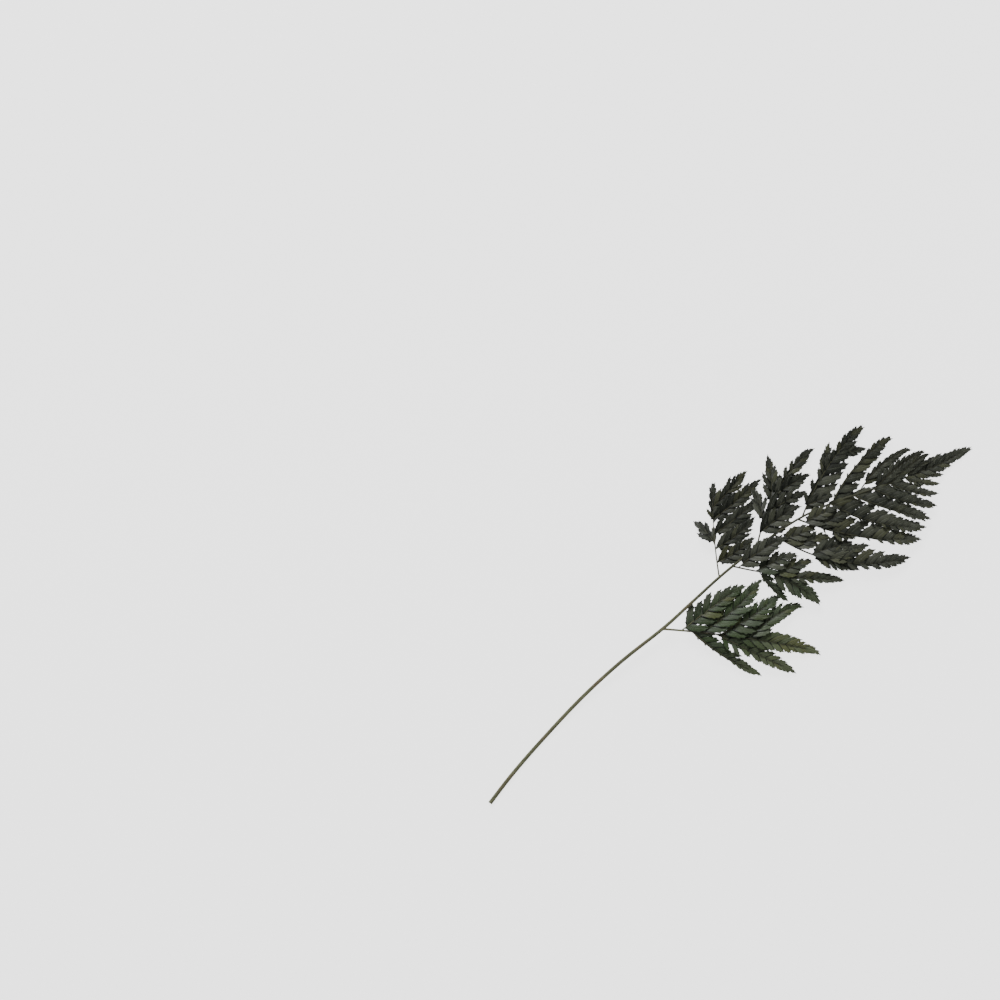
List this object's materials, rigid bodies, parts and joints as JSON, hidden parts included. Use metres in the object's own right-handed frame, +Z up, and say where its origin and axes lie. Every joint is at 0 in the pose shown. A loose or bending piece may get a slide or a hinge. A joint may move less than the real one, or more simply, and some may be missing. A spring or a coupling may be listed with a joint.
{
  "type": "leatherleaf fern frond",
  "caption": "Cut fern frond lying flat: a bare stalk that turns into a leafy triangular blade of forward-pointing branches cut into toothed leaflets, narrowing to a long tip.",
  "frame": {"origin": "centre of the box that the frond fills, on the surface that it lies on", "axes": "+Y from the cut end of the stalk to the frond's tip, +X to the right seen from above with the tip away, +Z up from the surface"},
  "size_m": [0.164, 0.4856, 0.0153],
  "materials": {
    "leaf": "dull charcoal green leaf tissue, greener and yellower on the lowest side branches, on a grey olive stalk"
  },
  "bodies": {
    "root": {"frond": "leaf"}
  },
  "joints": []
}
